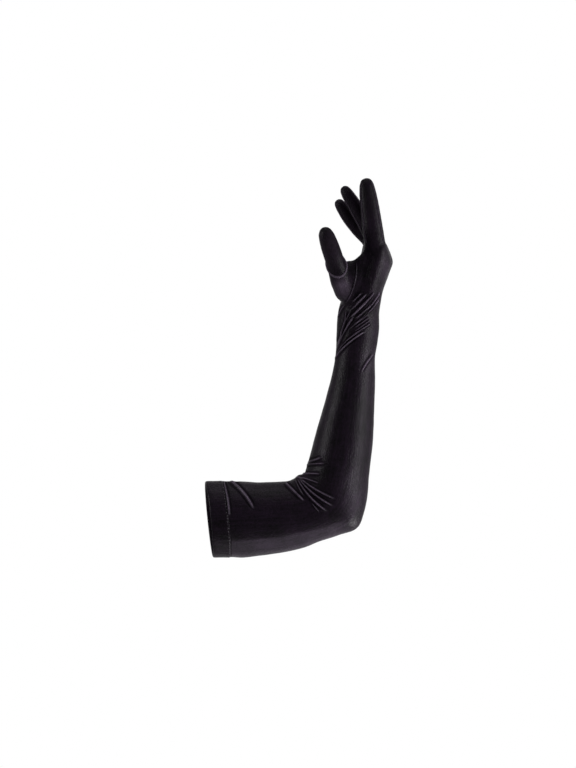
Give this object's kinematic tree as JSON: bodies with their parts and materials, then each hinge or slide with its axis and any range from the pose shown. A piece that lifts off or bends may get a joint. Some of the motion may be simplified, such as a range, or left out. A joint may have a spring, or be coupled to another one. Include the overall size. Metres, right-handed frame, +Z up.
{
  "type": "opera glove",
  "caption": "Long dress glove in dark stretch velvet for the right arm, kept in its worn shape: open at the upper arm, bent at the elbow, with separate fingers and thumb.",
  "frame": {"origin": "middle of the arm opening, in the plane of the hem's edge", "axes": "+X from the opening along the upper arm to the elbow, which is also the side of the back of the hand; +Z up along the forearm to the fingertips; the thumb side is -Y"},
  "size_m": [0.234, 0.0967, 0.4722],
  "materials": {
    "velvet": "short dense pile, dark face-on and light where it is seen edge-on"
  },
  "bodies": {
    "root": {"hem": "velvet", "upper_sleeve": "velvet", "elbow_sleeve": "velvet", "forearm_sleeve": "velvet", "hand_heel": "velvet", "palm": "velvet", "knuckles": "velvet", "index_finger": "velvet", "middle_finger": "velvet", "ring_finger": "velvet", "little_finger": "velvet", "thumb": "velvet"}
  },
  "joints": []
}
